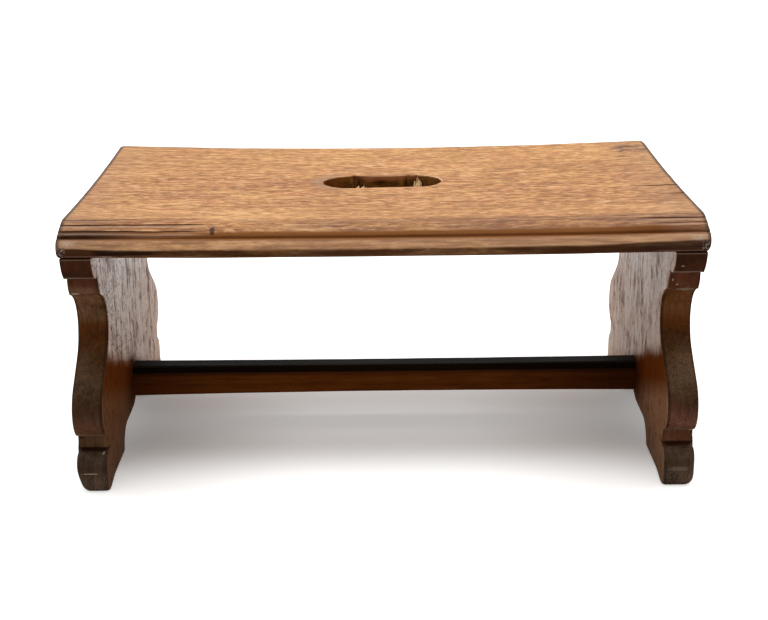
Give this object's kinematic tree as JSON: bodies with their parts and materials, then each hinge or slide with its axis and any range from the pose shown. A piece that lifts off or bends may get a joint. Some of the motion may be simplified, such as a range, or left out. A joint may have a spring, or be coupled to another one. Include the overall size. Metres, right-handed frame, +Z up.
{
  "type": "shoe fitting stool",
  "caption": "Low wooden stool with a worn, moulded seat board, a hand slot, scroll-sawn board legs and a chamfered stretcher.",
  "frame": {"origin": "on the floor, under the centre of the seat board's outline", "axes": "+X along the seat board, +Y towards its plain back edge, +Z up; the moulded edge faces -Y"},
  "size_m": [0.4572, 0.2858, 0.2026],
  "materials": {
    "seat_wood": "worn, bare honey-brown board",
    "leg_wood": "dark brown stain, scuffed",
    "cleat_wood": "plain sawn wood",
    "screw_steel": "dull, aged"
  },
  "bodies": {
    "root": {"seat_board": "seat_wood", "left_leg": "leg_wood", "right_leg": "leg_wood", "stretcher": "leg_wood", "left_cleat": "cleat_wood", "right_cleat": "cleat_wood", "tenon_wedges": "cleat_wood", "cleat_screws": "screw_steel"}
  },
  "joints": []
}
